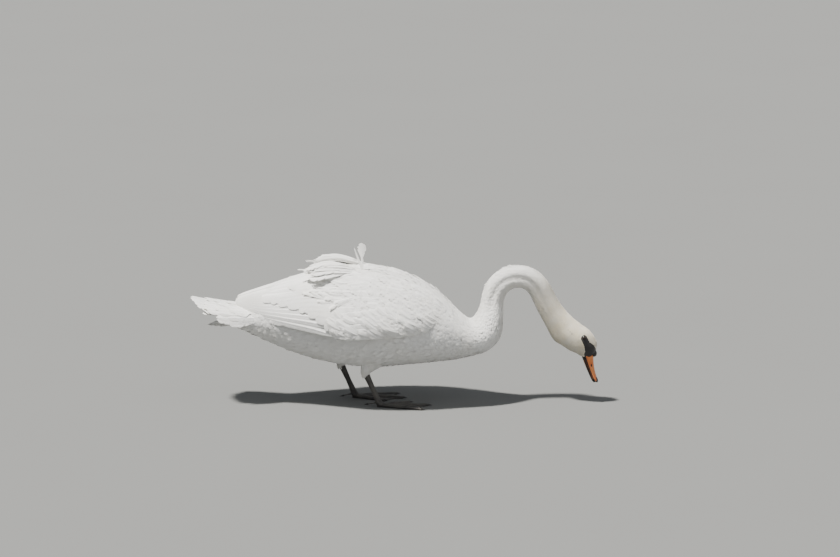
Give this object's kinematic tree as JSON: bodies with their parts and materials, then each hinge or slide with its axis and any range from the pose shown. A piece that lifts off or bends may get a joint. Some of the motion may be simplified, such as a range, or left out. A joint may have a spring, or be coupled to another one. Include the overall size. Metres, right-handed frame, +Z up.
{
  "type": "mute swan",
  "caption": "Life-size still model of a grazing mute swan: white body with folded wings, neck arched over and down, orange and black bill near the floor, standing on black webbed feet.",
  "frame": {"origin": "on the floor, below the middle of the bird's bounding box", "axes": "+X towards the head, +Y the bird's left side, +Z up"},
  "size_m": [1.1027, 0.327, 0.4379],
  "materials": {
    "plumage": "matte",
    "head_plumage": "matte",
    "bill": "satin",
    "horn": "satin",
    "leg_skin": "satin",
    "eye": "gloss"
  },
  "bodies": {
    "root": {"rump": "plumage", "trunk": "plumage", "breast": "plumage", "neck_rise": "plumage", "neck_arch": "plumage", "tail": "plumage", "back_plume": "plumage", "neck_fall": "head_plumage", "head": "head_plumage", "wing_left_coverts": "plumage", "wing_left_primaries": "plumage", "wing_left_tertials": "plumage", "thigh_left": "plumage", "shank_left": "leg_skin", "foot_left": "leg_skin", "claw_left_inner": "horn", "claw_left_middle": "horn", "claw_left_outer": "horn", "claw_left_hind": "horn", "eye_left": "eye", "wing_right_coverts": "plumage", "wing_right_primaries": "plumage", "wing_right_tertials": "plumage", "thigh_right": "plumage", "shank_right": "leg_skin", "foot_right": "leg_skin", "claw_right_inner": "horn", "claw_right_middle": "horn", "claw_right_outer": "horn", "claw_right_hind": "horn", "eye_right": "eye", "bill_upper": "bill", "bill_lower": "bill", "bill_nail": "horn", "bill_knob": "horn"}
  },
  "joints": []
}
